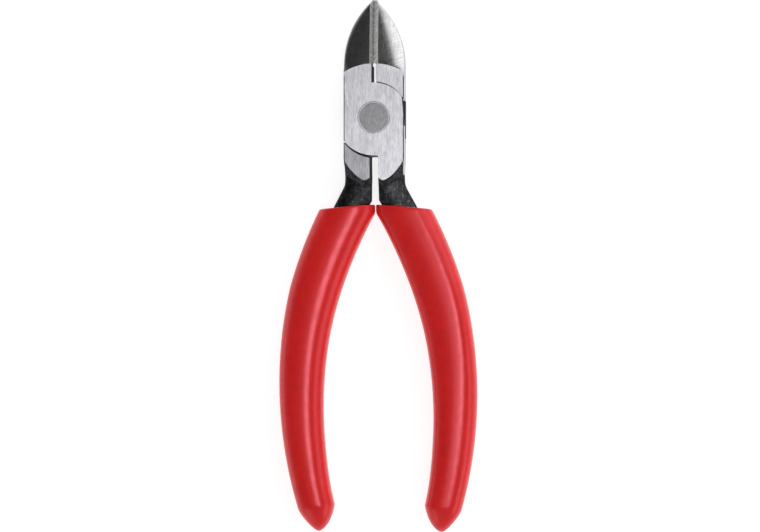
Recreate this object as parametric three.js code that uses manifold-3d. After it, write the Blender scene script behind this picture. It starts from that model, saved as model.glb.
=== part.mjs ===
// Diagonal cutting pliers: two lapped, forged levers on one rivet, with dipped vinyl grips.
// Millimetres. The closed tool lies flat: +X right, +Y towards the jaw tips, +Z up.
// The origin is on the pivot's axis, in the plane that the joint's rear face rests on.
import * as THREE from "three";
import { mergeVertices } from "three/addons/utils/BufferGeometryUtils.js";
import Module from "manifold-3d";

const wasm = await Module();
wasm.setup();

// ---- Driving dimensions ----
const LENGTH = 140; // from the jaw tips to the ends of the grips
const TIP_Y = 31.1; // pivot to jaw tips
const THICKNESS = 9.5; // between the two ground faces of the joint
const HEAD_HALF = 7.9; // half the width of the joint, 5/8 inch across
const EDGE_CHAMFER = 0.45; // along the outer edges of the joint
const CLEARANCE = 0.3; // between neighbouring pieces

// Jaws
const NOSE_RADIUS = 22.5; // the two arcs of the nose, tangent to the joint's sides
const NOSE_START = 14.2; // where those arcs begin
const TIP_HALF = 0.5; // half the blunt width at the very tip
const TIP_HALF_THICKNESS = 2.2;
const CROWN_START = 10.9; // where the ground face gives way to the crown, at the sides
const CREST_START = 13.8; // and on the centre line
const CREST_SLOPE = 0.08; // of the crown's crest where it leaves the ground face
const WALL_TIP = 0.5; // half height of the side wall at the tip
const BEVEL_WIDTH = 1.12; // of the cutting bevel on each jaw, seen from the front
const BEVEL_DEPTH = 1.3; // from the crest down to the cutting edge
const EDGE_LAND = 0.25; // height of the cutting edge's own land
const HOLLOW_HALF = 2.6; // half width of the relief behind the edges, at the rear face

// Lap joint
const UPPER_LAP_RADIUS = 9.1; // arc between a plate and the other lever's jaw
const LOWER_LAP_RADIUS = 9.95; // arc between a plate and the other lever's tang
const SLOT_HALF = 0.6; // half width of the slot between the jaws
const SLOT_END_Y = 14.5;
const RIVET_RADIUS = 2.5;
const RIVET_HEAD_RADIUS = 4.1;
const RIVET_HEAD_DEPTH = 1.5;

// Shanks and tangs
const SHANK_Y = -10; // below this the lever is one tang and no longer the whole head
const GAP_HALF = 1.12; // half the gap between the two tangs
const WAIST_HALF = 7.6; // half width over the shanks at their narrowest
const WAIST_Y = -14.5;
const CREST_X = 2.4; // where a shank is thickest, close to the gap
const TANG_HALF_THICKNESS = 3.25;
const TANG_WALL_HALF = 1.8; // half height of the tang's outer side wall
const TANG_END_Y = -100;

// Grips
const BOW_CENTRE_X = -91; // centre of the arc that the right grip's inner edge follows
const BOW_CENTRE_Y = -77.5;
const BOW_RADIUS = 105.5;
const GRIP_WIDTH = 12.85;
const GRIP_TAPER = 3.15; // how much narrower the grip is at its end
const TAPER_START_Y = -44;
const TAPER_POWER = 1.15;
const INNER_WALL = 2.2; // vinyl on the tang's inner side
const OUTER_WALL = 3.0; // and on its outer side
const GRIP_END_X = 16.2; // the rounded end's furthest point
const INNER_END_Y = -101.8; // where the end begins to round, on the inner side
const OUTER_END_Y = -103;
const GRIP_END_THICKNESS = 8.7;
const GRIP_SQUARENESS = 2.4; // exponent of the grip's superellipse section
const RIM_Y = -22.7; // the rim at the centre line
const RIM_SLOPE = 0.085; // how far the rim drops towards the outside
const RIM_GAP_HALF = 0.26; // half the gap between the two rims
const LEAN = 0.0136; // sideways lean of both handles, from LEAN_Y down
const LEAN_Y = -12;

const HALF = THICKNESS / 2;
const END_Y = TIP_Y - LENGTH;

// ---- Small helpers ----
const clamp01 = (t) => Math.min(1, Math.max(0, t));
const mix = (a, b, t) => a + (b - a) * t;
const smooth = (from, to, y) => {
  const t = clamp01((y - from) / (to - from));
  return t * t * (3 - 2 * t);
};
const smoothMax = (a, b, blend) => (a + b + Math.hypot(a - b, blend)) / 2;
const range = (from, to, count) =>
  Array.from({ length: count + 1 }, (_, i) => mix(from, to, i / count));

// A closed geometry as a solid, with its shared vertices merged.
function solid(geometry) {
  geometry.deleteAttribute("normal");
  geometry.deleteAttribute("uv");
  const merged = mergeVertices(geometry);
  const vertProperties = merged.getAttribute("position").array;
  const triVerts = new Uint32Array(merged.index.array);
  return new wasm.Manifold(new wasm.Mesh({ numProp: 3, vertProperties, triVerts }));
}

// A solid through closed sections, one for each y, from the largest y down. sectionAt(y) lists
// [x, z] points, clockwise when seen along +Y.
function loft(ys, sectionAt) {
  const sections = ys.map(sectionAt);
  const count = sections[0].length;
  const steps = ys.length - 1;
  const geometry = new THREE.CylinderGeometry(1, 1, steps, count, steps);
  const position = geometry.getAttribute("position");
  for (let i = 0; i < position.count; i++) {
    const [sine, cosine] = [position.getX(i), position.getZ(i)];
    const station = Math.round(steps / 2 - position.getY(i));
    const section = sections[station];
    const turn = Math.atan2(sine, cosine) / (2 * Math.PI);
    const corner = section[(Math.round(turn * count) + count) % count];
    const middle = [0, 1].map((k) => section.reduce((sum, p) => sum + p[k], 0) / count);
    const [x, z] = Math.hypot(sine, cosine) < 0.5 ? middle : corner;
    position.setXYZ(i, x, ys[station], z);
  }
  return solid(geometry);
}

// A flat shape made into a slab between two heights.
function slab(shape, low, high, curveSegments = 8) {
  const geometry = new THREE.ExtrudeGeometry(shape, {
    depth: high - low,
    bevelEnabled: false,
    curveSegments,
  });
  return solid(geometry.translate(0, 0, low));
}

// ---- The right-hand handle's outline, as x at a given y ----
const bow = (offset, y) =>
  BOW_CENTRE_X + Math.sqrt((BOW_RADIUS + offset) ** 2 - (y - BOW_CENTRE_Y) ** 2);

function gripWidth(y) {
  const along = Math.max(0, (TAPER_START_Y - y) / (TAPER_START_Y - OUTER_END_Y));
  return GRIP_WIDTH - GRIP_TAPER * along ** TAPER_POWER;
}

// How much of the grip's size is left on its rounded end.
function endShare(startY, y) {
  const along = clamp01((startY - y) / (startY - END_Y));
  return (1 - along ** 1.6) ** 0.6;
}

function gripInner(y) {
  const edge = smoothMax(bow(0, y), RIM_GAP_HALF, 0.1);
  return mix(GRIP_END_X, Math.min(edge, GRIP_END_X), endShare(INNER_END_Y, y));
}

function gripOuter(y) {
  return mix(GRIP_END_X, bow(gripWidth(y), y), endShare(OUTER_END_Y, y));
}

function tangInner(y) {
  return Math.max(GAP_HALF, bow(INNER_WALL, y));
}

function tangOuter(y) {
  const waist = mix(HEAD_HALF, WAIST_HALF, smooth(SHANK_Y, WAIST_Y, y));
  return smoothMax(bow(gripWidth(y) - OUTER_WALL, y), waist, 0.6);
}

// ---- The forged lever blank ----

// The edges, crest and wall heights of the forging's section at y.
function forging(y) {
  if (y > SHANK_Y) {
    const rise = Math.max(0, y - NOSE_START);
    const side = HEAD_HALF - NOSE_RADIUS + Math.sqrt(NOSE_RADIUS ** 2 - rise ** 2);
    const outer = Math.max(TIP_HALF, side);
    const along = y - CREST_START;
    const reach = TIP_Y - CREST_START;
    const bend = (HALF - TIP_HALF_THICKNESS - CREST_SLOPE * reach) / reach ** 2;
    const crest = HALF - CREST_SLOPE * along - (along > 0 ? bend * along ** 2 : 0);
    const fall = (HALF - WALL_TIP) / (TIP_Y - CROWN_START);
    const wall = Math.min(HALF - EDGE_CHAMFER, HALF - fall * (y - CROWN_START));
    const crown = y > CROWN_START ? crest : 2 * HALF;
    return { inner: -outer, outer, middle: 0, crest: crown, innerWall: wall, outerWall: wall };
  }
  const [inner, outer] = [tangInner(y), tangOuter(y)];
  const thinning = smooth(-13, -28, y);
  const crest = mix(HALF + 0.25, TANG_HALF_THICKNESS, thinning);
  const middle = mix(CREST_X, (inner + outer) / 2, smooth(-16, -24, y));
  const outerWall = mix(HALF - EDGE_CHAMFER, TANG_WALL_HALF, smooth(-9, -21, y));
  const innerWall = mix(HALF - 0.6, TANG_WALL_HALF, smooth(-14, -24, y));
  return { inner, outer, middle, crest, innerWall, outerWall };
}

const SECTION_SIDE = 11; // points across each face of a section

// The section at y, grown all round by margin.
function forgedSection(y, margin = 0) {
  const { inner, outer, middle, crest, innerWall, outerWall } = forging(y);
  const across = range(-1, 1, SECTION_SIDE - 1).map((s) => Math.sin((s * Math.PI) / 2));
  const face = across.map((s) => {
    const x = s < 0 ? mix(middle, inner, -s) : mix(middle, outer, s);
    const wall = s < 0 ? innerWall : outerWall;
    const crown = wall + Math.max(0, crest - wall) * Math.sqrt(1 - s * s);
    const chamfered = wall + Math.min(x - inner, outer - x);
    const height = Math.min(HALF, crown, y > SHANK_Y ? chamfered : HALF);
    return [x + margin * s, height + margin];
  });
  const front = face.map(([x, height]) => [x, HALF + height]);
  const rear = face.map(([x, height]) => [x, HALF - height]).reverse();
  return [...front, ...rear];
}

const STEP = 0.02; // the blank narrows from the head to the tang within this length
const jawStations = [TIP_Y, 30.4, 29.2, 27.4, 25, 22, 19, 16.5, NOSE_START, 12.5, CROWN_START];
const shankStations = [SHANK_Y, -11.5, -13, -14.5, -16.4, -18, -19.5, -21, -23];
const tangStations = range(-26, TANG_END_Y, 11);
const blank = loft(
  [...jawStations, SHANK_Y + STEP, ...shankStations, ...tangStations],
  (y) => forgedSection(y),
);

// ---- What the lap joint leaves of the blank ----
const FAR = 40; // beyond every edge of the blank
const LOW = END_Y - 5;

// Where a circle of this radius about the pivot meets the line at x, above or below the pivot.
const onArc = (radius, x) => Math.sqrt(radius ** 2 - x ** 2);
const arcAngle = (radius, x, above) =>
  Math.atan2((above ? 1 : -1) * onArc(radius, x), x);

// The outline of the jaw's inner face, from beyond the tip down to the end of the slot.
function alongJawFace(shape) {
  shape.moveTo(-CLEARANCE / 2, FAR);
  shape.lineTo(-CLEARANCE / 2, SLOT_END_Y);
  shape.lineTo(-SLOT_HALF, SLOT_END_Y - SLOT_HALF);
}

const CORNER_ANGLE = THREE.MathUtils.degToRad(25); // well outside the joint's straight sides

// The front half: jaw on the left, lap plate, tang on the right.
function frontOutline() {
  const upper = UPPER_LAP_RADIUS;
  const lower = LOWER_LAP_RADIUS;
  const shape = new THREE.Shape();
  alongJawFace(shape);
  shape.absarc(0, 0, upper, arcAngle(upper, -SLOT_HALF, true), CORNER_ANGLE, true);
  shape.lineTo(FAR, upper * Math.sin(CORNER_ANGLE));
  shape.lineTo(FAR, LOW);
  shape.lineTo(GAP_HALF / 2, LOW);
  const lowerEnd = Math.PI + CORNER_ANGLE;
  const lowerStart = arcAngle(lower, GAP_HALF / 2, false) + 2 * Math.PI;
  shape.absarc(0, 0, lower, lowerStart, lowerEnd, true);
  shape.lineTo(-FAR, -lower * Math.sin(CORNER_ANGLE));
  shape.lineTo(-FAR, FAR);
  return shape;
}

// The rear half of the jaw, outside the other lever's plate.
function rearJawOutline() {
  const radius = UPPER_LAP_RADIUS + CLEARANCE;
  const shape = new THREE.Shape();
  alongJawFace(shape);
  shape.absarc(0, 0, radius, arcAngle(radius, -SLOT_HALF, true), Math.PI - CORNER_ANGLE, false);
  shape.lineTo(-FAR, radius * Math.sin(CORNER_ANGLE));
  shape.lineTo(-FAR, FAR);
  return shape;
}

// The rear half of the tang, outside the other lever's plate.
function rearTangOutline() {
  const radius = LOWER_LAP_RADIUS + CLEARANCE;
  const shape = new THREE.Shape();
  shape.absarc(0, 0, radius, arcAngle(radius, GAP_HALF / 2, false), -CORNER_ANGLE, false);
  shape.lineTo(FAR, -radius * Math.sin(CORNER_ANGLE));
  shape.lineTo(FAR, LOW);
  shape.lineTo(GAP_HALF / 2, LOW);
  return shape;
}

// ---- The cutting edges ----
const crestAt = (y) => HALF + Math.min(HALF, forging(y).crest);
const edgeStations = [TIP_Y + 1, 29, 26, 23, 20, 17, SLOT_END_Y - SLOT_HALF];
const REACH = 2; // how far a cutter runs past the surface it cuts

function bevelCutter() {
  return loft(edgeStations, (y) => {
    const edge = crestAt(Math.min(y, TIP_Y)) - BEVEL_DEPTH;
    const side = BEVEL_WIDTH * REACH;
    return [
      [-side, edge + BEVEL_DEPTH * REACH],
      [side, edge + BEVEL_DEPTH * REACH],
      [0, edge],
    ];
  });
}

function hollowCutter() {
  return loft(edgeStations, (y) => {
    const crest = crestAt(Math.min(y, TIP_Y));
    const top = crest - BEVEL_DEPTH - EDGE_LAND;
    const share = (crest - HALF) / HALF;
    const bottom = THICKNESS - crest - REACH;
    return [
      [0, top],
      [HOLLOW_HALF * share, bottom],
      [-HOLLOW_HALF * share, bottom],
    ];
  });
}

// ---- The rivet, headed over into both faces ----
function rivet(margin) {
  const radius = RIVET_RADIUS + margin;
  const head = RIVET_HEAD_RADIUS + margin;
  const past = margin > 0 ? 1 : 0; // the hole is cut right through the faces
  const profile = [
    [0, -past],
    [head, -past],
    [head, 0],
    [radius, RIVET_HEAD_DEPTH],
    [radius, THICKNESS - RIVET_HEAD_DEPTH],
    [head, THICKNESS],
    [head, THICKNESS + past],
    [0, THICKNESS + past],
  ].map(([x, y]) => new THREE.Vector2(x, y));
  const distinct = profile.filter((p, i) => i === 0 || !p.equals(profile[i - 1]));
  return solid(new THREE.LatheGeometry(distinct, 36).rotateX(Math.PI / 2));
}

// ---- Whole pieces, made right-handed and then placed ----

// The lever whose jaw is on the left and whose plate is in front, before its edge is ground.
function lappedLever() {
  const lapTop = HALF + CLEARANCE / 2;
  const kept = slab(frontOutline(), lapTop, THICKNESS + 1)
    .add(slab(rearJawOutline(), -1, lapTop + 0.5))
    .add(slab(rearTangOutline(), -1, lapTop + 0.5));
  return blank.intersect(kept).subtract(rivet(CLEARANCE));
}

// Both cutting edges are ground from the front, so this comes after a lever is turned.
const ground = (lever) => lever.subtract(bevelCutter()).subtract(hollowCutter());

function gripSection(y) {
  const [inner, outer] = [gripInner(y), gripOuter(y)];
  const taper = smooth(TAPER_START_Y, OUTER_END_Y, y);
  const thickness = mix(THICKNESS, GRIP_END_THICKNESS, taper) * endShare(INNER_END_Y, y);
  const rounded = (v) => Math.sign(v) * Math.abs(v) ** (2 / GRIP_SQUARENESS);
  const count = 16;
  return Array.from({ length: count }, (_, i) => {
    const angle = (2 * Math.PI * (i + 0.5)) / count;
    const [s, c] = [Math.sin(angle), Math.cos(angle)];
    const peak = rounded(Math.cos(Math.PI / count)); // so that the flats reach the full size
    const x = (inner + outer) / 2 + (((outer - inner) / 2) * rounded(s)) / peak;
    return [x, HALF + ((thickness / 2) * rounded(c)) / peak];
  });
}

// A sleeve of vinyl on the right-hand tang, open at the rim.
function grip() {
  const top = RIM_Y + 3;
  const endStations = [-99.5, -102, -104.5, -106.5, -108, END_Y + 0.01];
  const outside = loft([top, -23.5, ...range(-27, -94, 11), ...endStations], gripSection);
  const pocket = loft([top + 1, -20.5, -22, -24, ...tangStations], (y) =>
    forgedSection(y, CLEARANCE),
  );
  const rim = new THREE.Shape();
  rim.moveTo(-5, RIM_Y + 5 * RIM_SLOPE);
  rim.lineTo(FAR, RIM_Y - FAR * RIM_SLOPE);
  rim.lineTo(FAR, FAR);
  rim.lineTo(-5, FAR);
  const deepEnd = loft([TANG_END_Y + 1, TANG_END_Y - CLEARANCE], (y) =>
    forgedSection(Math.max(y, TANG_END_Y), CLEARANCE),
  );
  return outside.subtract(pocket).subtract(deepEnd).subtract(slab(rim, -1, THICKNESS + 1));
}

const palette = {
  steel: { color: 0xbfbec2, roughness: 0.35, metalness: 1 },
  rivet: { color: 0x9a999c, roughness: 0.4, metalness: 1 },
  vinyl: { color: 0xbe2a29, roughness: 0.45, metalness: 0 },
};

// A solid's geometry with every point moved by the given function.
function moved(body, move) {
  const { vertProperties, triVerts } = body.getMesh();
  const points = new Float32Array(vertProperties.length);
  for (let i = 0; i < points.length; i += 3) points.set(move(...vertProperties.slice(i, i + 3)), i);
  const geometry = new THREE.BufferGeometry();
  geometry.setAttribute("position", new THREE.BufferAttribute(points, 3));
  return geometry.setIndex(new THREE.BufferAttribute(triVerts, 1));
}

// The same piece for the other side: half a turn about the tool's middle line.
const turned = (body) => solid(moved(body, (x, y, z) => [-x, y, THICKNESS - z]));

// A named mesh from a solid, with the handles' lean.
function piece(name, body, look) {
  const lean = (y) => LEAN * Math.max(0, LEAN_Y - y);
  const geometry = moved(body, (x, y, z) => [x + lean(y), y, z]);
  geometry.computeVertexNormals();
  const mesh = new THREE.Mesh(geometry, new THREE.MeshStandardMaterial(palette[look]));
  mesh.name = name;
  return mesh;
}

const lever = lappedLever();
const sleeve = grip();

const pliers = new THREE.Group();
pliers.add(
  piece("front_lever", ground(lever), "steel"),
  piece("rear_lever", ground(turned(lever)), "steel"),
  piece("pivot_rivet", rivet(0), "rivet"),
  piece("right_grip", sleeve, "vinyl"),
  piece("left_grip", turned(sleeve), "vinyl"),
);

export default pliers;
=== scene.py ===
"""Looks for the diagonal cutting pliers: forged and ground levers, the rivet and the vinyl grips.

Everything is in metres in the CAD frame: +X right, +Y to the jaw tips, +Z out of the front face.
"""
import math

import bmesh
import bpy
import numpy as np
from mathutils import Matrix, Vector


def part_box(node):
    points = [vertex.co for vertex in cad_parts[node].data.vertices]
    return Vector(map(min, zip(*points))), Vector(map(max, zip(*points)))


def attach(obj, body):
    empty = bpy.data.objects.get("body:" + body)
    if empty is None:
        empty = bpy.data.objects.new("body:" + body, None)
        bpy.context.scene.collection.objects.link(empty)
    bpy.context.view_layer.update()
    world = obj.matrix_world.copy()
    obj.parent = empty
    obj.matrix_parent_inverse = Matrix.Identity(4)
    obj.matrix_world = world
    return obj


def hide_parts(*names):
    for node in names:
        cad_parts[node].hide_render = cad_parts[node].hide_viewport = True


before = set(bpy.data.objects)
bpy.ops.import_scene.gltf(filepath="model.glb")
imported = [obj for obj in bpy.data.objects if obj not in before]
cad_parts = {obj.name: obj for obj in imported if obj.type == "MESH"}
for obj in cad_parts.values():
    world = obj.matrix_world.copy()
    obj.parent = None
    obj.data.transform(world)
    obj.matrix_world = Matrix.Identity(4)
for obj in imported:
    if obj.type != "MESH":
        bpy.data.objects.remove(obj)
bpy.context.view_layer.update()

MM = 0.001

# ---- Sizes that come from the frame ----
rivet_low, rivet_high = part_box("pivot_rivet")
THICKNESS = rivet_high.z - rivet_low.z
HALF = THICKNESS / 2
TIP_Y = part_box("front_lever")[1].y
END_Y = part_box("right_grip")[0].y
RIVET_HEAD_RADIUS = (rivet_high.x - rivet_low.x) / 2

# ---- Head and jaws ----
HEAD_HALF = 7.9 * MM  # half the width of the joint
EDGE_CHAMFER = 0.25 * MM  # the broken edge round the faces
CHAMFER_SLOPE = 1.0
CHAMFER_BLEND = 0.03 * MM
CHAMFER_FADE = 3.5 * MM  # the length over which it fades out towards the jaws
NOSE_RADIUS = 22.5 * MM
NOSE_START = 14.2 * MM
TIP_HALF = 0.68 * MM
TIP_HALF_THICKNESS = 2.2 * MM
TIP_ROUNDING = 0.5 * MM
TIP_FULLNESS = 0.9  # at 1 the rounding would be a full quarter circle
CREST_START = 14.1 * MM  # the crown leaves the ground face here on the centre line
CROWN_ARC = 15.7 * MM  # and from there along an arc of this radius
CREST_SLOPE = 0.08
CROWN_DEPTH = 0.95 * MM  # how far the crown falls from its crest to its sides
CROWN_EASE = 1.7 * MM  # the length over which that fall builds up
BEVEL_WIDTH = 1.12 * MM
BEVEL_DEPTH = 1.3 * MM
EDGE_LAND = 0.12 * MM  # between a bevel and the hollow behind it
HOLLOW_HALF = 2.6 * MM
LEAST_HALF = 0.2 * MM  # no section is thinner than twice this

# ---- Lap joint ----
LAP_GAP = 0.05 * MM
UPPER_LAP_RADIUS = 9.1 * MM
LOWER_LAP_RADIUS = 9.95 * MM
UPPER_LAP_GAPS = (0.28 * MM, 0.08 * MM)  # shoulder clearance beside the slot and at the side
LOWER_LAP_GAPS = (0.72 * MM, 0.12 * MM)  # beside the tang gap and at the side
CORNER_ANGLE = math.radians(25)  # the lap arcs end this far above and below the pivot
SLOT_HALF = 0.6 * MM
SLOT_END_Y = 14.5 * MM
RIVET_RADIUS = 2.5 * MM
RIVET_HEAD_DEPTH = 1.5 * MM
RIVET_SEAM = 0.08 * MM
RELIEF_TOP_Y = 4.6 * MM  # the black wedge beside the joint
RELIEF_END_Y = -2.1 * MM
RELIEF_DEPTH = 0.5 * MM
CORNER_DEPTH = 1.0 * MM
CORNER_LEAST = 0.02  # the share of the broken corner that is left at its lower end
LAP_SIDE_END_Y = -5.3 * MM  # the lap plate's other side is left black down to here
RIVET_BREAK = 0.06 * MM  # the broken edge of a rivet head
RIVET_DISC = 3.78 * MM  # the darker disc inside the rivet's bright rim
RING_WIDTH = 0.1 * MM  # half the width of the groove round the disc
RING_DEPTH = 0.09 * MM

# ---- Shanks and tangs ----
SHANK_Y = -10 * MM
GAP_HALF = 1.12 * MM
WAIST_HALF = 7.6 * MM
WAIST_Y = -14.5 * MM
WAIST_BLEND = 0.6 * MM
CREST_X = 2.4 * MM  # where the shank is thickest
LOBE_END_Y = -16.45 * MM  # the ground face's lowest point
LOBE_START_Y = -10.6 * MM  # and where the ground face starts to narrow
LOBE_POWER = 1.42  # of the superellipse that it ends in
LOBE_INNER_SHARE = 0.28  # how much of that shows on the inner side
FACET_SLOPE = 0.62  # of the facet that leads from the ground face down to the shank
FACET_BLEND = 0.12 * MM
SHANK_HALF_THICKNESS = 3.95 * MM
SHANK_WALL_HALF = 2.7 * MM
INNER_ROUNDING = 0.15 * MM
TANG_HALF_THICKNESS = 3.25 * MM
TANG_WALL_HALF = 1.8 * MM
THINNING_YS = (-15 * MM, -24 * MM)  # where the shank thins to the tang
WALL_YS = (-17 * MM, -26 * MM)  # where its inner wall does
CREST_YS = (-16 * MM, -24 * MM)  # and where its crest moves to the middle
TANG_END_Y = -100 * MM

# ---- Grips ----
BOW_CENTRE = (-91 * MM, -77.5 * MM)
BOW_RADIUS = 105.5 * MM
GRIP_WIDTH = 13.15 * MM
GRIP_TAPER = 3.15 * MM
TAPER_START_Y = -44 * MM
TAPER_POWER = 1.15
INNER_WALL = 2.2 * MM  # of vinyl between the tang and the grip's inner edge
OUTER_WALL = 3.3 * MM
GRIP_END_X = 16.2 * MM
INNER_END_Y = -101.8 * MM
OUTER_END_Y = -103 * MM
INNER_END_POWER = 0.65  # how the inner edge rounds into the end
OUTER_END_POWERS = (1.6, 0.6)  # and how the outer edge and the faces do
GRIP_END_THICKNESS = 8.7 * MM
FRONT_SQUARENESS = 2.6  # of the sections' front half; 2 is an ellipse
REAR_SQUARENESS = 2.4
FRONT_CREST_SHIFT = 2.4 * MM  # the sections lean: the front crest lies this far out of the middle
REAR_CREST_SHIFT = -0.4 * MM  # and the rear one, here to the inner side
CREST_FADE = 46 * MM  # the length over which that fades out towards the end
INNER_SWELL = 0.4 * MM  # the inner edge's fullness below the rim
SWELL_YS = (-60 * MM, -32 * MM)
INNER_TRIM = 0.25 * MM  # and its drawing in above the end
TRIM_YS = (-85 * MM, -100 * MM)
RIM_Y = -22.7 * MM
RIM_SLOPE = 0.085
RIM_SLANT_LENGTH = 26 * MM  # the length below the rim over which the sections slant with it
POCKET_SLANT_LENGTH = 12 * MM
RIM_GAP_HALF = 0.12 * MM
RIM_GAP_BLEND = 0.1 * MM
RIM_ROUNDING = 0.35 * MM
POCKET_MARGIN = 0.06 * MM  # between the tang and the vinyl
MOUTH_MARGIN = 0.16 * MM  # and at the rim
HANDLE_LEAN = 0.0136  # both handles lean to the right by this slope
HANDLE_LEAN_Y = -12 * MM  # from here down

# ---- How finely the pieces are made, and how far the cutters reach ----
RING_SIDE = 84  # points on each face of a lever's section
TIP_SECTIONS = 8
HEAD_SECTIONS = 76
SHANK_SECTIONS = 66
TANG_SECTIONS = 30
DENSE_HEAD_Y = 9 * MM  # the head's sections lie close together down to here
SPARSE_HEAD_YS = (7 * MM, RELIEF_TOP_Y, RELIEF_END_Y, LAP_SIDE_END_Y, -8 * MM)
SECTION_STEP = 0.01 * MM  # between the head's last section and the shank's first
DENSE_SHANK_Y = -30 * MM
SPARSE_TANG_Y = -32 * MM
EDGE_SECTIONS = 60
ARC_STEPS = 72
HOLE_STEPS = 96
RIVET_STEPS = 128
GRIP_SIDE = 64  # points on each face of a grip's section
END_SECTIONS = 30
END_FLAT = 0.04  # the grip's end starts this angle round, with a small flat
BODY_SECTIONS = 110
BODY_START = 0.5 * MM  # from the end's last section to the body's first
RIM_SECTIONS = 7
MOUTH_DEPTHS = (0.15 * MM, 0.5 * MM, 2 * MM)  # the pocket's first sections, below the rim
POCKET_SECTIONS = 30
POCKET_END = 0.3 * MM  # past the tang's end
SLANT_ROUNDS = 3
FORGED_CREASE = 35  # degrees between two faces that meet in a sharp edge
RIVET_CREASE = 20
GRIP_CREASE = 60
FAR = 40 * MM  # past everything, sideways and upwards
LOW_Y = END_Y - 5 * MM  # and downwards
PAST = 1 * MM  # how far a cutter reaches past what it cuts
CORNER_PAST = 0.3 * MM
CUTTER_SCALE = 2.0  # how many times its own size the bevels' cutter is


# ---- Small helpers ----
def mix(a, b, t):
    return a + (b - a) * t


def clamp01(t):
    return min(1.0, max(0.0, t))


def smooth(start, end, value):
    t = clamp01((value - start) / (end - start))
    return t * t * (3 - 2 * t)


def smooth_max(a, b, blend):
    return (a + b + np.hypot(a - b, blend)) / 2


def smooth_min(a, b, blend):
    return (a + b - np.hypot(a - b, blend)) / 2


def link(name, mesh):
    piece = bpy.data.objects.new(name, mesh)
    bpy.context.scene.collection.objects.link(piece)
    return piece


def loft(name, rings):
    """A closed solid through rings of points, each an (n, 3) array, with flat ends."""
    count = len(rings[0])
    points = np.concatenate(rings)
    faces = [tuple(range(count))[::-1], tuple(range(len(points) - count, len(points)))]
    for r in range(len(rings) - 1):
        a, b = r * count, (r + 1) * count
        faces += [(a + i, a + (i + 1) % count, b + (i + 1) % count, b + i) for i in range(count)]
    mesh = bpy.data.meshes.new(name)
    mesh.from_pydata(points.tolist(), [], faces)
    outward(mesh)
    return link(name, mesh)


def outward(mesh):
    """Turns every face of a closed mesh to point out."""
    bm = bmesh.new()
    bm.from_mesh(mesh)
    bmesh.ops.recalc_face_normals(bm, faces=bm.faces)
    if bm.calc_volume(signed=True) < 0:
        bmesh.ops.reverse_faces(bm, faces=bm.faces)
    bm.to_mesh(mesh)
    bm.free()


def slab(name, outline, low, high):
    """A prism from a closed outline of (x, y) points."""
    return loft(name, [np.array([(x, y, z) for x, y in outline]) for z in (low, high)])


def combined(target, other, operation):
    """Joins or cuts the target with another solid, which is used up."""
    modifier = target.modifiers.new(operation, "BOOLEAN")
    modifier.operation = operation
    modifier.solver = "MANIFOLD"
    modifier.object = other
    depsgraph = bpy.context.evaluated_depsgraph_get()
    mesh = bpy.data.meshes.new_from_object(target.evaluated_get(depsgraph))
    target.modifiers.clear()
    target.data = mesh
    bpy.data.objects.remove(other)


# ---- The right-hand handle's outline, as x at a given y ----
def bow(offset, y):
    """The handle's big arc, moved outwards by the offset."""
    return BOW_CENTRE[0] + math.sqrt((BOW_RADIUS + offset) ** 2 - (y - BOW_CENTRE[1]) ** 2)


def grip_width(y):
    along = max(0.0, (TAPER_START_Y - y) / (TAPER_START_Y - OUTER_END_Y))
    return GRIP_WIDTH - GRIP_TAPER * along**TAPER_POWER


def end_along(start_y, y):
    """How far y is along the grip's rounded end, from 0 to 1."""
    return clamp01((start_y - y) / (start_y - END_Y))


def end_share(start_y, y):
    """How much of the grip's size is left on its rounded end."""
    fall, rise = OUTER_END_POWERS
    return (1 - end_along(start_y, y) ** fall) ** rise


def grip_inner(y):
    edge = smooth_max(bow(0, y) - INNER_SWELL * smooth(*SWELL_YS, y), RIM_GAP_HALF, RIM_GAP_BLEND)
    edge += INNER_TRIM * smooth(*TRIM_YS, y)
    return mix(GRIP_END_X, min(edge, GRIP_END_X), (1 - end_along(INNER_END_Y, y)) ** INNER_END_POWER)


def grip_thickness(y):
    return mix(THICKNESS, GRIP_END_THICKNESS, smooth(TAPER_START_Y, OUTER_END_Y, y))


def grip_outer(y):
    return mix(GRIP_END_X, bow(grip_width(y), y), end_share(OUTER_END_Y, y))


def tang_inner(y):
    return max(GAP_HALF, bow(INNER_WALL, y))


def tang_outer(y):
    waist = mix(HEAD_HALF, WAIST_HALF, smooth(SHANK_Y, WAIST_Y, y))
    return smooth_max(bow(grip_width(y) - OUTER_WALL, y), waist, WAIST_BLEND)


# ---- The forged lever, before its faces are ground ----
def crown_line(x):
    """Where the jaws' crown leaves the ground face."""
    return CREST_START - CROWN_ARC + np.sqrt(CROWN_ARC**2 - x**2)


def jaw_crest(y, x=0.0):
    """The crown's half height, before it falls towards its sides."""
    along = y - crown_line(x)
    reach = TIP_Y - CREST_START
    bend = (HALF - TIP_HALF_THICKNESS - CREST_SLOPE * reach) / reach**2
    return HALF - CREST_SLOPE * along - bend * np.maximum(0, along) ** 2


def head_half(y):
    rise = max(0.0, y - NOSE_START)
    return max(TIP_HALF, HEAD_HALF - NOSE_RADIUS + math.sqrt(NOSE_RADIUS**2 - rise**2))


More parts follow.
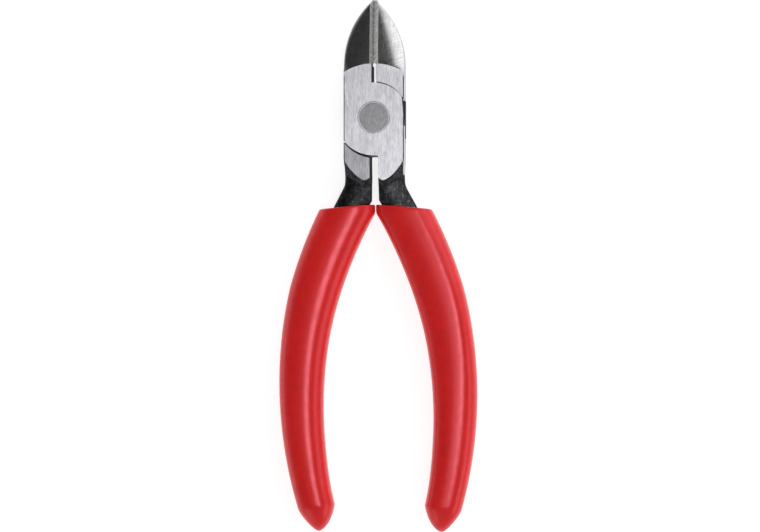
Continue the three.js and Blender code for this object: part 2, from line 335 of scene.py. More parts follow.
def head_height(x, y):
    """Half heights of the head's section at y."""
    half = head_half(y)
    depth = CROWN_DEPTH * math.sqrt(half / HEAD_HALF)
    eased = 1 - np.exp(-np.maximum(0, y - crown_line(x)) / CROWN_EASE)
    fall = depth * eased * (1 - np.sqrt(np.maximum(0, 1 - (x / half) ** 2)))
    last = clamp01((y - TIP_Y + TIP_ROUNDING) / TIP_ROUNDING)
    drop = TIP_ROUNDING * (1 - math.sqrt(1 - TIP_FULLNESS * last**2))
    crown = jaw_crest(y, x) - fall - drop
    chamfer = HALF + CHAMFER_SLOPE * (half - np.abs(x) - EDGE_CHAMFER)
    faded = HALF * smooth(CREST_START - CHAMFER_FADE, CREST_START, y)
    return smooth_min(crown, chamfer + faded, CHAMFER_BLEND)


def tang_height(s, y):
    """Half heights of a shank or tang at y, from its inner side (s = -1) to its outer side (s = 1)."""
    length = LOBE_START_Y - LOBE_END_Y
    lowered = max(0.0, (LOBE_START_Y - y) / length)
    share = np.where(s < 0, LOBE_INNER_SHARE, 1.0) * np.abs(s)
    beyond = (share**LOBE_POWER + lowered**LOBE_POWER) ** (1 / LOBE_POWER) - 1
    facet = HALF - FACET_SLOPE * length * beyond
    thinned = smooth(*THINNING_YS, y)
    crest = mix(SHANK_HALF_THICKNESS, TANG_HALF_THICKNESS, thinned)
    inner_wall = mix(crest - INNER_ROUNDING, TANG_WALL_HALF, smooth(*WALL_YS, y))
    wall = np.where(s < 0, inner_wall, mix(SHANK_WALL_HALF, TANG_WALL_HALF, thinned))
    level = wall + (crest - wall) * np.sqrt(np.maximum(0, 1 - s * s))
    return smooth_max(facet, level, FACET_BLEND)


def forged_ring(y, count, margin=0.0):
    """The lever's section at y, as points round it."""
    s = np.sin(np.linspace(-np.pi / 2, np.pi / 2, count))
    if y > SHANK_Y:
        x = head_half(y) * s
        height = head_height(x, y)
    else:
        inner, outer = tang_inner(y), tang_outer(y)
        middle = mix(CREST_X, (inner + outer) / 2, smooth(*CREST_YS, y))
        x = np.where(s < 0, mix(middle, inner, -s), mix(middle, outer, s))
        chamfer = HALF + CHAMFER_SLOPE * (outer - x - EDGE_CHAMFER)
        height = smooth_min(tang_height(s, y), chamfer, CHAMFER_BLEND)
    height = np.maximum(height, LEAST_HALF) + margin
    x = x + margin * s
    top = np.stack([x, np.full(count, y), HALF + height], axis=1)
    bottom = np.stack([x, np.full(count, y), HALF - height], axis=1)[::-1]
    return np.concatenate([top, bottom])


def forged_blank():
    """The whole lever as forged, from tip to tang, with a section wherever a finish changes."""
    tip = TIP_Y - TIP_ROUNDING * (1 - np.cos(np.linspace(0, np.pi / 2, TIP_SECTIONS)))
    head = np.linspace(TIP_Y - TIP_ROUNDING, DENSE_HEAD_Y, HEAD_SECTIONS)
    joint = (*SPARSE_HEAD_YS, SHANK_Y + SECTION_STEP)
    shank = np.linspace(SHANK_Y, DENSE_SHANK_Y, SHANK_SECTIONS)
    tang = np.linspace(SPARSE_TANG_Y, TANG_END_Y, TANG_SECTIONS)
    rings = [forged_ring(y, RING_SIDE) for y in np.concatenate([tip[:-1], head, joint, shank, tang])]
    return loft("blank", rings)


# ---- What the lap joint leaves, seen from the front ----
def arc_angle(radius, x, above):
    """The angle at which a lap arc crosses x, above or below the pivot."""
    return math.atan2((1 if above else -1) * math.sqrt(radius**2 - x**2), x)


def arc(radius, start, end, gaps=(0.0, 0.0)):
    """Points about the pivot, with a clearance that changes evenly along the arc."""
    points = []
    for t in np.linspace(0, 1, ARC_STEPS):
        angle = mix(start, end, t)
        r = radius + mix(gaps[0], gaps[1], t)
        points.append((r * math.cos(angle), r * math.sin(angle)))
    return points


def jaw_face():
    """The left jaw's edge towards the right one, and the slot's shoulder."""
    face = LAP_GAP / 4
    return [(-face, FAR), (-face, SLOT_END_Y), (-SLOT_HALF, SLOT_END_Y - SLOT_HALF)]


def front_outline():
    """What is kept of the front half of the thickness: jaw, lap plate and tang."""
    upper, lower = UPPER_LAP_RADIUS, LOWER_LAP_RADIUS
    return [
        *jaw_face(),
        *arc(upper, arc_angle(upper, -SLOT_HALF, True), CORNER_ANGLE),
        (FAR, upper * math.sin(CORNER_ANGLE)),
        (FAR, LOW_Y),
        (GAP_HALF / 2, LOW_Y),
        *arc(lower, arc_angle(lower, GAP_HALF / 2, False), CORNER_ANGLE - math.pi),
        (-FAR, -lower * math.sin(CORNER_ANGLE)),
        (-FAR, FAR),
    ]


def rear_jaw_outline():
    """What is kept of the rear half above the other lever's lap plate."""
    start = arc_angle(UPPER_LAP_RADIUS, -SLOT_HALF, True)
    return [
        *jaw_face(),
        *arc(UPPER_LAP_RADIUS, start, math.pi - CORNER_ANGLE, UPPER_LAP_GAPS),
        (-FAR, UPPER_LAP_RADIUS * math.sin(CORNER_ANGLE)),
        (-FAR, FAR),
    ]


def rear_tang_outline():
    """And what is kept of it below."""
    start = arc_angle(LOWER_LAP_RADIUS, GAP_HALF / 2, False)
    return [
        *arc(LOWER_LAP_RADIUS, start, -CORNER_ANGLE, LOWER_LAP_GAPS),
        (FAR, -LOWER_LAP_RADIUS * math.sin(CORNER_ANGLE)),
        (FAR, LOW_Y),
        (GAP_HALF / 2, LOW_Y),
    ]


# ---- Cutters ----
def edge_rings(corners_at):
    """Rings of a cutter that runs along the cutting edges."""
    ys = np.linspace(TIP_Y + PAST, SLOT_END_Y - SLOT_HALF, EDGE_SECTIONS)
    return [np.array([(x, y, z) for x, z in corners_at(min(y, TIP_Y))]) for y in ys]


def bevel_corners(y):
    """The groove that the two bevels make at y, as (x, z) points."""
    edge = HALF + min(HALF, jaw_crest(y)) - BEVEL_DEPTH
    side, top = BEVEL_WIDTH * CUTTER_SCALE, edge + BEVEL_DEPTH * CUTTER_SCALE
    return [(-side, top), (side, top), (0, edge)]


def hollow_corners(y):
    """The hollow behind the cutting edges at y, as (x, z) points."""
    crest = min(HALF, jaw_crest(y))
    top = HALF + crest - BEVEL_DEPTH - EDGE_LAND
    bottom = HALF - crest - 2 * PAST
    side = HOLLOW_HALF * crest / HALF
    return [(0, top), (side, bottom), (-side, bottom)]


def lathe(name, profile, steps):
    """A solid of revolution about the pivot from (radius, z) points that start and end on its axis."""
    turns = np.linspace(0, 2 * np.pi, steps, endpoint=False)
    inner = profile[1:-1]
    points = [(r * math.cos(a), r * math.sin(a), z) for r, z in inner for a in turns]
    faces = []
    for k in range(len(inner) - 1):
        a, b = k * steps, (k + 1) * steps
        faces += [(a + i, a + (i + 1) % steps, b + (i + 1) % steps, b + i) for i in range(steps)]
    points += [(0, 0, profile[0][1]), (0, 0, profile[-1][1])]
    first, last = len(points) - 2, len(points) - 1
    b = (len(inner) - 1) * steps
    faces += [(first, (i + 1) % steps, i) for i in range(steps)]
    faces += [(last, b + i, b + (i + 1) % steps) for i in range(steps)]
    mesh = bpy.data.meshes.new(name)
    mesh.from_pydata(points, [], faces)
    outward(mesh)
    return link(name, mesh)


def rivet_hole():
    """The hole, countersunk from both faces."""
    head, body = RIVET_HEAD_RADIUS + RIVET_SEAM, RIVET_RADIUS + RIVET_SEAM
    return lathe("hole", [
        (0, -PAST), (head, -PAST), (head, 0), (body, RIVET_HEAD_DEPTH),
        (body, THICKNESS - RIVET_HEAD_DEPTH), (head, THICKNESS), (head, THICKNESS + PAST),
        (0, THICKNESS + PAST),
    ], HOLE_STEPS)


def side_relief():
    """The wedge ground off the lap plate's outer side, below the shoulder that it stops against."""
    bottom = HEAD_HALF - RELIEF_DEPTH
    outline = [
        (bottom, RELIEF_TOP_Y + PAST), (bottom, RELIEF_TOP_Y),
        (HEAD_HALF, RELIEF_END_Y), (HEAD_HALF + PAST, RELIEF_END_Y),
        (HEAD_HALF + PAST, RELIEF_TOP_Y + PAST),
    ]
    return slab("relief", outline[::-1], HALF, THICKNESS + PAST)


def corner_relief():
    """The lap plate's corner broken on its other side, to face the wedge on the plate over it."""
    rings = []
    past = CORNER_PAST
    for y, share in ((RELIEF_END_Y, CORNER_LEAST), (RELIEF_TOP_Y, 1.0)):
        wide, deep = RELIEF_DEPTH * share, CORNER_DEPTH * share
        points = [
            (-HEAD_HALF + wide + past, HALF - past),
            (-HEAD_HALF - past, HALF + deep * (1 + past / wide)),
            (-HEAD_HALF - past, HALF - past),
        ]
        rings.append(np.array([(x, y, z) for x, z in points]))
    return loft("corner", rings)


def turn_over(piece):
    """Half a turn about the tool's middle line."""
    for vertex in piece.data.vertices:
        x, y, z = vertex.co
        vertex.co = (-x, y, THICKNESS - z)


def lean(piece):
    """Leans both handles a little to the right, as they stand in the closed tool."""
    for vertex in piece.data.vertices:
        vertex.co.x += HANDLE_LEAN * max(0.0, HANDLE_LEAN_Y - vertex.co.y)


def lever(name, turned):
    """One lever, forged, ground flat and cut. The rear one is the front one turned over, bevels aside."""
    lap = HALF + LAP_GAP / 2
    kept = slab("kept", front_outline(), lap, THICKNESS + PAST)
    for part, outline in (("jaw", rear_jaw_outline()), ("tang", rear_tang_outline())):
        combined(kept, slab(part, outline, -PAST, lap + PAST / 2), "UNION")
    piece = forged_blank()
    piece.name = name
    box = [(-FAR, LOW_Y), (FAR, LOW_Y), (FAR, FAR), (-FAR, FAR)]
    combined(piece, slab("ground", box, 0, THICKNESS), "INTERSECT")
    combined(piece, kept, "INTERSECT")
    for cutter in (rivet_hole(), side_relief(), corner_relief()):
        combined(piece, cutter, "DIFFERENCE")
    if turned:
        turn_over(piece)
    for part, corners_at in (("bevels", bevel_corners), ("hollow", hollow_corners)):
        combined(piece, loft(part, edge_rings(corners_at)), "DIFFERENCE")
    return piece


# ---- The rivet and the grips ----
def rivet():
    """The rivet's two flush heads, each a disc in a bright rim with a groove between, and the body."""
    head, body = RIVET_HEAD_RADIUS, RIVET_RADIUS
    half = [
        (0, HALF), (body, HALF), (body, THICKNESS - RIVET_HEAD_DEPTH), (head, THICKNESS - RIVET_BREAK),
        (head - RIVET_BREAK, THICKNESS), (RIVET_DISC + RING_WIDTH, THICKNESS),
        (RIVET_DISC, THICKNESS - RING_DEPTH), (RIVET_DISC - RING_WIDTH, THICKNESS), (0, THICKNESS),
    ]
    lower = [(r, THICKNESS - z) for r, z in half[:1:-1]]
    return lathe("rivet", lower + half[2:], RIVET_STEPS)


def grip_outer_ring(y, inset=0.0):
    """The grip's outside at y. Near the rim the ring slants with it."""
    angle = (np.arange(GRIP_SIDE) + 0.5) / GRIP_SIDE * np.pi - np.pi / 2
    slant = RIM_SLOPE * smooth(RIM_Y - RIM_SLANT_LENGTH, RIM_Y, y)
    fading = smooth(TAPER_START_Y - CREST_FADE, TAPER_START_Y, y)
    halves = []
    for face, squareness, shift in (
        (1, FRONT_SQUARENESS, FRONT_CREST_SHIFT),
        (-1, REAR_SQUARENESS, REAR_CREST_SHIFT),
    ):
        side = np.sign(np.sin(angle)) * np.abs(np.sin(angle)) ** (2 / squareness)
        ys = np.full(GRIP_SIDE, y)
        for _ in range(SLANT_ROUNDS):  # x and y depend on each other where the ring slants
            inner = np.array([grip_inner(v) for v in ys])
            outer = np.array([grip_outer(v) for v in ys])
            crest = (inner + outer) / 2 + shift * fading
            x = crest + (np.where(side < 0, crest - inner, outer - crest) - inset) * side
            ys = y - slant * x
        share = np.array([end_share(INNER_END_Y, v) for v in ys])
        thick = np.array([grip_thickness(v) for v in ys])
        height = (thick * share / 2 - inset) * np.cos(angle) ** (2 / squareness)
        halves.append(np.stack([x, ys, HALF + face * height], axis=1))
    return np.concatenate([halves[0], halves[1][::-1]])


def grip_pocket_ring(y, margin):
    """The grip's inside, a little larger than the tang in it."""
    ring = forged_ring(y, GRIP_SIDE, margin)
    slant = RIM_SLOPE * smooth(RIM_Y - POCKET_SLANT_LENGTH, RIM_Y, y)
    ring[:, 1] -= slant * ring[:, 0]
    return ring


def grip(name):
    """The right-hand grip: its rounded end, body and rim, and inside it the tang's pocket."""
    turns = np.linspace(END_FLAT, np.pi / 2, END_SECTIONS)
    ends = END_Y + (INNER_END_Y - END_Y) * (1 - np.cos(turns))
    body = np.linspace(INNER_END_Y + BODY_START, RIM_Y - RIM_ROUNDING, BODY_SECTIONS)
    rings = [grip_outer_ring(y) for y in np.concatenate([ends, body])]
    for turn in np.linspace(0, np.pi / 2, RIM_SECTIONS)[1:]:
        y = RIM_Y - RIM_ROUNDING * (1 - math.sin(turn))
        rings.append(grip_outer_ring(y, RIM_ROUNDING * (1 - math.cos(turn))))
    rings.append(grip_pocket_ring(RIM_Y, MOUTH_MARGIN))
    first, second, third = (RIM_Y - depth for depth in MOUTH_DEPTHS)
    deeper = np.linspace(third, TANG_END_Y - POCKET_END, POCKET_SECTIONS)
    rings += [grip_pocket_ring(y, POCKET_MARGIN) for y in (first, second, *deeper)]
    return loft(name, rings)


# ---- Which finish each face of a lever has, before it leans ----
FINISHES = ("ground", "side", "polished", "bevel", "oxide", "black_and_shade", "machined")
SIDE_END_Y = -15 * MM  # the ground sides end here
SHADED_LOBE_Y = -7 * MM  # ground faces with their middle below here get the greyer side steel: painted shade on the lobes beyond the joint
LAP_FACE_RADIUS = 7.4 * MM
LEVEL = 0.9999  # a face's normal along Z, from which it is flat
TURNED = 0.3  # and along any axis, from which it is turned that way
HOLLOW_WALL = 0.6  # the same for a wall of the hollow
UPRIGHT = 0.94  # and for an outer side
NEAR = 0.01 * MM
LAP_NEAR = 0.2 * MM  # how far a lap face may lie from the middle of the thickness
SIDE_DEPTH = 1 * MM  # the outer sides' faces lie within this of the head's half width
NOSE_SIDE_DEPTH = 0.4 * MM  # and on the nose within this
CROWN_MARGIN = 0.1 * MM  # the polish starts this far before the crown
EDGE_MARGIN = 0.2 * MM  # and this far from the middle line


def finish_of(centre, normal):
    """The finish of a face, by where its centre lies and which way it faces."""
    x, y, z = centre
    across = abs(x)
    from_middle = abs(z - HALF)
    flat = abs(normal.z) > LEVEL
    on_edges = y > SLOT_END_Y - SLOT_HALF
    if flat and min(abs(z), abs(z - THICKNESS)) < NEAR:
        # The ground faces' lower lobes get the greyer side steel: painted shade.
        return "side" if y < SHADED_LOBE_Y else "ground"
    if flat and from_middle < LAP_NEAR and math.hypot(x, y) < LAP_FACE_RADIUS:
        return "machined"
    on_corner = across > HEAD_HALF - RELIEF_DEPTH - NEAR and from_middle < CORNER_DEPTH
    # The broken corner and the relieved sides get a dull black: unground oxide, and partly painted shade
    # of the recess.
    if on_corner and abs(normal.z) > TURNED:
        return "black_and_shade"
    if across < SLOT_HALF + NEAR and 0 < y < SLOT_END_Y + NEAR and abs(normal.x) > TURNED:
        return "oxide"
    if on_edges and across < BEVEL_WIDTH + NEAR and normal.z > TURNED and z > HALF:
        return "bevel"
    if on_edges and across < HOLLOW_HALF and normal.x * x < 0 and abs(normal.x) > HOLLOW_WALL:
        return "oxide"
    if across > HEAD_HALF - SIDE_DEPTH and abs(normal.x) > UPRIGHT and SIDE_END_Y < y < NOSE_START:
        # Dull black on the sides here: unground oxide, and partly painted shade of the recess.
        black_down_to = RELIEF_END_Y if (x > 0) == (z > HALF) else LAP_SIDE_END_Y
        return "black_and_shade" if black_down_to < y < RELIEF_TOP_Y else "side"
    if y >= NOSE_START and across > head_half(y) - NOSE_SIDE_DEPTH and abs(normal.z) < TURNED:
        return "side"
    if y > crown_line(min(across, HEAD_HALF)) - CROWN_MARGIN and across > EDGE_MARGIN:
        return "polished"
    return "oxide"


def finished(piece, materials):
    """Gives each face its finish. Faces with different finishes meet in a sharp edge."""
    mesh = piece.data
    mesh.materials.clear()
    for name in FINISHES:
        mesh.materials.append(materials[name])
    bm = bmesh.new()
    bm.from_mesh(mesh)
    for face in bm.faces:
        face.material_index = FINISHES.index(finish_of(face.calc_center_median(), face.normal))
        face.smooth = True
    limit = math.radians(FORGED_CREASE)
    for edge in bm.edges:
        kinds = {(face.material_index, abs(face.normal.z) > LEVEL) for face in edge.link_faces}
        edge.smooth = edge.calc_face_angle(0) < limit and len(kinds) == 1
    bm.to_mesh(mesh)
    bm.free()


# ---- Materials ----
def material(name, **sockets):
    """A Principled material with its plain values set, its node tree and its shader."""
    made = bpy.data.materials.new(name)
    made.use_nodes = True
    shader = made.node_tree.nodes["Principled BSDF"]
    for socket, value in sockets.items():
        shader.inputs[socket.replace("_", " ").title().replace("Ior", "IOR")].default_value = value
    return made, made.node_tree, shader


def node(tree, kind, inputs=None, **settings):
    """A shader node, with its inputs linked or set."""
    made = tree.nodes.new("ShaderNode" + kind)
    for key, value in settings.items():
        setattr(made, key, value)
    for key, value in (inputs or {}).items():
        if isinstance(value, bpy.types.NodeSocket):
            tree.links.new(value, made.inputs[key])
        else:
            made.inputs[key].default_value = value
    return made


def position(tree):
    return node(tree, "TexCoord").outputs["Object"]


def stretched(tree, sizes, turn=(0, 0, 0)):
    """Object coordinates counted in grains, where sizes are a grain's millimetres along X, Y and Z."""
    scale = [1 / (size * MM) for size in sizes]
    turned = node(tree, "Mapping", {"Vector": position(tree), "Rotation": turn}, vector_type="POINT")
    inputs = {"Vector": turned.outputs[0], "Scale": scale}
    return node(tree, "Mapping", inputs, vector_type="POINT").outputs[0]


def noise(tree, sizes, detail, roughness=0.5, turn=(0, 0, 0)):
    inputs = {
        "Vector": stretched(tree, sizes, turn), "Scale": 1.0, "Detail": detail, "Roughness": roughness,
    }
    return node(tree, "TexNoise", inputs).outputs[0]


def ramp(tree, value, *stops):
    """A colour ramp through (place, colour) stops. A plain number is a grey."""
    made = node(tree, "ValToRGB", {"Fac": value})
    elements = made.color_ramp.elements
    while len(elements) < len(stops):
        elements.new(0.5)
    for element, (place, colour) in zip(elements, stops):
        element.position = place
        element.color = (colour,) * 3 + (1,) if isinstance(colour, float) else (*colour, 1)
    return made.outputs[0]


def span(tree, value, low, high, new_low, new_high):
    """A value between low and high, clamped, as one between the new ends."""
    inputs = {"Value": value, "From Min": low, "From Max": high, "To Min": new_low, "To Max": new_high}
    return node(tree, "MapRange", inputs).outputs[0]


def blended(tree, mode, factor, a, b):
    made = node(tree, "Mix", data_type="RGBA", blend_type=mode)
    for index, value in ((0, factor), (6, a), (7, b)):
        if isinstance(value, bpy.types.NodeSocket):
            tree.links.new(value, made.inputs[index])
        else:
            made.inputs[index].default_value = value
    return made.outputs[2]


def sums(tree, *terms):
    """The sum of (height, weight) terms."""
    total = None
    for height, weight in terms:
        part = node(tree, "Math", {0: height, 1: weight}, operation="MULTIPLY").outputs[0]
        if total is None:
            total = part
        else:
            total = node(tree, "Math", {0: total, 1: part}, operation="ADD").outputs[0]
    return total


def bump(tree, shader, height, depth):
    """Bumps whose full height is the depth in millimetres."""
    made = node(tree, "Bump", {"Height": height, "Distance": depth * MM})
    tree.links.new(made.outputs[0], shader.inputs["Normal"])


def feed(tree, shader, **sockets):
    for socket, value in sockets.items():
        tree.links.new(value, shader.inputs[socket.replace("_", " ").title()])


def ground_steel():
    """Flat-ground steel, brushed along the tool."""
    made, tree, shader = material("ground_steel", metallic=1.0)
    fine = noise(tree, (0.13, 1.5, 0.13), 3)
    wide = noise(tree, (0.45, 4, 0.45), 2)
    cloud = noise(tree, (3, 5, 3), 2)
    grain = sums(tree, (fine, 0.5), (wide, 0.35), (cloud, 0.15))
    feed(
        tree, shader,
        base_color=ramp(tree, grain, (0.40, (0.62, 0.62, 0.645)), (0.60, (0.90, 0.90, 0.93))),
        roughness=span(tree, grain, 0.35, 0.65, 0.46, 0.36),
    )
    bump(tree, shader, sums(tree, (fine, 0.7), (wide, 0.3)), 0.02)
    return made


def side_steel_and_lobe_shade():
    """The levers' outer sides: milled, and greyer than the faces. Also laid on the ground faces' lower
    lobes as painted shade.
    """
    made, tree, shader = material("side_steel_and_lobe_shade", metallic=1.0)
    fine = noise(tree, (0.2, 2.2, 0.14), 3)
    cloud = noise(tree, (1.5, 3.5, 1.5), 2)
    grain = sums(tree, (fine, 0.6), (cloud, 0.4))
    feed(
        tree, shader,
        base_color=ramp(tree, grain, (0.38, (0.36, 0.36, 0.37)), (0.62, (0.54, 0.54, 0.56))),
        roughness=span(tree, grain, 0.35, 0.65, 0.42, 0.30),
    )
    bump(tree, shader, grain, 0.02)
    return made


def polished_steel():
    """The jaws' crowns: belted across, then polished."""
    made, tree, shader = material("polished_steel", metallic=1.0)
    belt = noise(tree, (7, 0.3, 3), 3, turn=(0, 0, math.radians(-18)))
    lengthwise = noise(tree, (0.35, 5, 0.8), 2)
    specks = noise(tree, (0.3, 0.8, 0.3), 2)
    cloud = noise(tree, (2.2, 3.4, 2.2), 2)
    marks = sums(tree, (belt, 0.4), (cloud, 0.3), (lengthwise, 0.3))
    colour = ramp(tree, marks, (0.38, (0.54, 0.53, 0.52)), (0.62, (0.70, 0.695, 0.69)))
    feed(tree, shader, base_color=colour, roughness=span(tree, specks, 0.35, 0.7, 0.16, 0.24))
    bump(tree, shader, belt, 0.003)
    return made


def bevel_steel():
    """The cutting bevels, with the wheel's slanting marks."""
    made, tree, shader = material("bevel_steel", metallic=1.0)
    split = node(tree, "SeparateXYZ", {"Vector": position(tree)})
    side = node(tree, "Math", {0: split.outputs[0]}, operation="ABSOLUTE").outputs[0]
    across = node(tree, "Math", {0: side, 1: 0.9}, operation="MULTIPLY").outputs[0]
    along = node(tree, "Math", {0: split.outputs[1], 1: across}, operation="SUBTRACT").outputs[0]
    point = node(tree, "CombineXYZ", {"X": along}).outputs[0]
    marks = node(tree, "TexNoise", {"Vector": point, "Scale": 1 / (0.42 * MM), "Detail": 3.0}).outputs[0]
    cloud = noise(tree, (0.5, 1.2, 0.5), 3)
    lines = sums(tree, (marks, 0.75), (cloud, 0.25))
    feed(
        tree, shader,
        base_color=ramp(tree, lines, (0.41, (0.42, 0.42, 0.41)), (0.59, (0.88, 0.88, 0.86))),
        roughness=span(tree, lines, 0.35, 0.65, 0.5, 0.34),
    )
    bump(tree, shader, lines, 0.03)
    return made


def black_oxide():
    """Forged skin under black oxide, with bright specks where it has rubbed."""
    made, tree, shader = material("black_oxide", metallic=1.0, specular_tint=(0.08, 0.08, 0.08, 1))
    scale = noise(tree, (0.9, 1.3, 0.9), 4, 0.6)
    grit = noise(tree, (0.24, 0.3, 0.24), 3, 0.6)
    rubbed = noise(tree, (0.35, 0.7, 0.35), 3, 0.65)
    skin = ramp(tree, scale, (0.3, (0.018, 0.017, 0.017)), (0.7, (0.060, 0.060, 0.064)))
    specks = ramp(tree, rubbed, (0.59, 0.0), (0.70, 1.0))
    colour = blended(tree, "MIX", specks, skin, (0.20, 0.20, 0.21, 1))
    feed(tree, shader, base_color=colour, roughness=span(tree, grit, 0.3, 0.7, 0.28, 0.46))
    bump(tree, shader, sums(tree, (scale, 0.6), (grit, 0.4)), 0.09)
    return made


def black_steel_and_shade():
    """The joint's sides, dull black: unground black oxide, and partly painted shade of the recesses
    beside the joint.
    """
    made, tree, shader = material("black_steel_and_shade", specular_ior_level=0.08)
    scale = noise(tree, (0.5, 0.9, 0.5), 4, 0.6)
    grit = noise(tree, (0.2, 0.25, 0.2), 3, 0.6)
    feed(
        tree, shader,
        base_color=ramp(tree, scale, (0.35, (0.008, 0.008, 0.009)), (0.7, (0.024, 0.023, 0.023))),
        roughness=span(tree, grit, 0.3, 0.7, 0.55, 0.75),
    )
    bump(tree, shader, sums(tree, (scale, 0.6), (grit, 0.4)), 0.04)
    return made


def machined_steel():
    """The lap faces, turned round the pivot."""
    made, tree, shader = material("machined_steel", metallic=1.0)
    reach = node(tree, "VectorMath", {0: position(tree)}, operation="LENGTH").outputs["Value"]
    point = node(tree, "CombineXYZ", {"X": reach}).outputs[0]
    turned = node(tree, "TexNoise", {"Vector": point, "Scale": 1 / (0.16 * MM), "Detail": 3.0}).outputs[0]
    cloud = noise(tree, (1.5, 1.5, 1.5), 3)
    lines = sums(tree, (turned, 0.7), (cloud, 0.3))
    feed(
        tree, shader,
        base_color=ramp(tree, lines, (0.38, (0.42, 0.42, 0.42)), (0.62, (0.62, 0.62, 0.63))),
        roughness=span(tree, lines, 0.3, 0.7, 0.42, 0.3),
    )
    bump(tree, shader, lines, 0.02)
    return made


def rivet_steel():
    """The rivet's ends, faced with the joint and a little greyer than it."""
    made, tree, shader = material("rivet_steel", metallic=1.0)
    fine = noise(tree, (0.10, 2.4, 0.10), 3)
    cloud = noise(tree, (0.8, 1.1, 0.8), 3)
    grain = sums(tree, (fine, 0.6), (cloud, 0.4))
    feed(
        tree, shader,
        base_color=ramp(tree, grain, (0.38, (0.29, 0.29, 0.30)), (0.62, (0.42, 0.42, 0.43))),
        roughness=span(tree, grain, 0.35, 0.65, 0.46, 0.36),
    )
    bump(tree, shader, grain, 0.02)
    return made


def grip_vinyl():
    """Dipped vinyl: soft gloss over a faintly uneven coat."""
    made, tree, shader = material("grip_vinyl", specular_ior_level=1.0, specular_tint=(1, 0.36, 0.42, 1))
    flow = noise(tree, (9, 26, 9), 2)
    mottle = noise(tree, (1.8, 2.4, 1.8), 2)
    peel = noise(tree, (0.9, 1.1, 0.9), 2)
    dye = sums(tree, (flow, 0.45), (mottle, 0.55))
    feed(
        tree, shader,
        base_color=ramp(tree, dye, (0.36, (0.74, 0.019, 0.018)), (0.64, (0.84, 0.025, 0.022))),
        roughness=span(tree, mottle, 0.3, 0.7, 0.27, 0.23),
    )
    bump(tree, shader, sums(tree, (peel, 0.3), (mottle, 0.7)), 0.008)
    return made


def floor_paint():
    """A pale, softly lit table."""
    made, tree, shader = material(
        "floor_paint", roughness=0.8, specular_ior_level=0.1,
        emission_color=(1, 1, 1, 1), emission_strength=0.82,
    )
    cloud = noise(tree, (60, 60, 60), 3)
    feed(tree, shader, base_color=ramp(tree, cloud, (0.3, (0.39, 0.39, 0.39)), (0.7, (0.41, 0.41, 0.41))))
    return made


# ---- The pieces ----
STEEL = {
    "ground": ground_steel(), "side": side_steel_and_lobe_shade(), "polished": polished_steel(),
    "bevel": bevel_steel(), "oxide": black_oxide(), "black_and_shade": black_steel_and_shade(),
    "machined": machined_steel(),
}


def add(piece, body, replaced):
    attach(piece, body)
    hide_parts(replaced)


def smooth_all(piece, made, crease):
    piece.data.materials.append(made)
    piece.data.shade_smooth()
    piece.data.set_sharp_from_angle(angle=math.radians(crease))


for side, turned in (("front", False), ("rear", True)):
    forging = lever(f"{side}_lever_forging", turned)
    finished(forging, STEEL)
    lean(forging)
    add(forging, f"{side}_half", f"{side}_lever")

pin = rivet()
pin.name = "pivot_rivet_headed"
smooth_all(pin, STEEL["ground"], RIVET_CREASE)
pin.data.materials.append(rivet_steel())
for facet in pin.data.polygons:
    facet.material_index = int(facet.center.xy.length < RIVET_DISC)
add(pin, "rear_half", "pivot_rivet")

vinyl = grip_vinyl()
for side, body in (("right", "front_half"), ("left", "rear_half")):
    sleeve = grip(f"{side}_grip_dipped")
    if side == "left":
        turn_over(sleeve)
    lean(sleeve)
    smooth_all(sleeve, vinyl, GRIP_CREASE)
    add(sleeve, body, f"{side}_grip")


# ---- Floor, light and camera ----
FLOOR_HALF = 3.0
FLOOR_Z = -0.05 * MM
VIEW_TURN = math.radians(4.5)  # the camera stands this far round to the right
VIEW_DISTANCE = 0.55
PICTURE_WIDTH = 200.4 * MM  # what the picture's width takes in at the tool
VIEW_CENTRE = Vector((1.3 * MM, (TIP_Y + END_Y) / 2, HALF))

floor = link("floor", bpy.data.meshes.new("floor"))
signs = ((-1, -1), (1, -1), (1, 1), (-1, 1))
corners = [(x * FLOOR_HALF, y * FLOOR_HALF, FLOOR_Z) for x, y in signs]
floor.data.from_pydata(corners, [], [(0, 1, 2, 3)])
floor.data.materials.append(floor_paint())


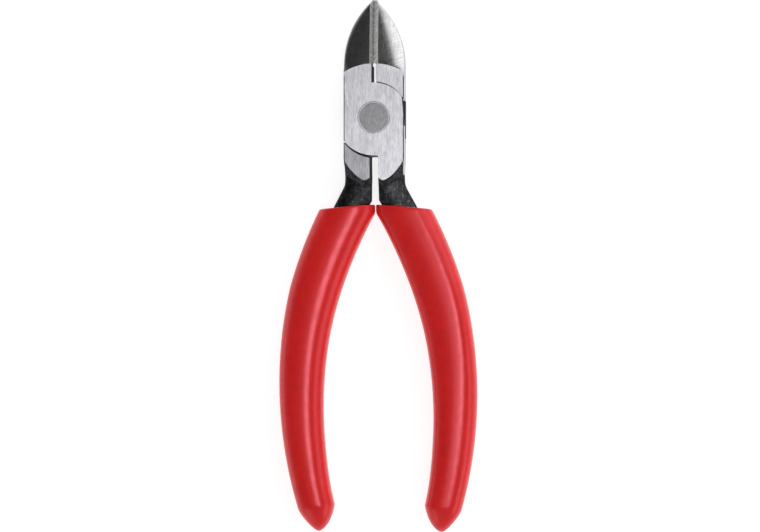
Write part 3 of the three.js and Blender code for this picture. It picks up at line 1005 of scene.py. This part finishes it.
def softbox(name, brightness, towards, distance, across, along):
    """An area light in a direction from the tool, with its sides along the picture's width and height."""
    light = bpy.data.lights.new(name, "AREA")
    light.shape = "RECTANGLE"
    light.size, light.size_y = across, along
    light.energy = brightness * math.pi * across * along
    light.color = (0.98, 0.975, 1.0)
    lamp = bpy.data.objects.new(name, light)
    bpy.context.scene.collection.objects.link(lamp)
    back = Vector(towards).normalized()
    sideways = Vector((0, 1, 0)).cross(back).normalized()
    turned = Matrix((sideways, back.cross(sideways), back)).transposed().to_4x4()
    turned.translation = VIEW_CENTRE + distance * back
    lamp.matrix_world = turned
    lamp.visible_camera = False


softbox("key", 7.9, (0.14, -0.06, 1.0), 1.0, 0.25, 0.29)
softbox("right", 1.4, (0.64, 0.42, 0.66), 1.0, 1.14, 0.5)
softbox("far", 0.95, (0.5, 1.0, 0.5), 1.0, 0.8, 0.6)
softbox("side", 1.3, (0.80, -0.38, 0.55), 1.0, 0.45, 0.9)
softbox("fill", 0.8, (-0.55, -0.75, 0.5), 1.0, 0.6, 0.6)
softbox("strip", 2.5, (-1.0, 0.0, 0.11), 0.9, 0.06, 1.2)

world = bpy.data.worlds.new("studio")
bpy.context.scene.world = world
world.use_nodes = True
sky = world.node_tree
split = node(sky, "SeparateXYZ", {"Vector": node(sky, "TexCoord").outputs["Generated"]})
frontward = span(sky, split.outputs[1], -0.2, -0.6, 0.0, 0.28)
rightward = span(sky, split.outputs[0], 0.3, 0.8, 0.0, 0.1)
sidelong = span(sky, split.outputs[2], 0.65, 0.3, 0.0, 0.5)
horizon = span(sky, split.outputs[2], 0.08, 0.02, 0.0, 0.4)
glow = frontward
for band in (rightward, sidelong, horizon):
    glow = node(sky, "Math", {0: glow, 1: band}, operation="MAXIMUM").outputs[0]
glow = node(sky, "Math", {0: glow, 1: 0.035}, operation="ADD").outputs[0]
sky.links.new(glow, sky.nodes["Background"].inputs["Strength"])
sky.nodes["Background"].inputs["Color"].default_value = (1, 1, 1, 1)

camera = bpy.data.objects.new("camera", bpy.data.cameras.new("camera"))
bpy.context.scene.collection.objects.link(camera)
bpy.context.scene.camera = camera
camera.data.sensor_width = 36
camera.data.lens = camera.data.sensor_width * VIEW_DISTANCE / PICTURE_WIDTH
camera.rotation_euler = (0, VIEW_TURN, 0)
camera.location = VIEW_CENTRE + VIEW_DISTANCE * Vector((math.sin(VIEW_TURN), 0, math.cos(VIEW_TURN)))
camera.data.clip_start, camera.data.clip_end = 0.01, 20
bpy.context.scene.view_settings.view_transform = "Standard"
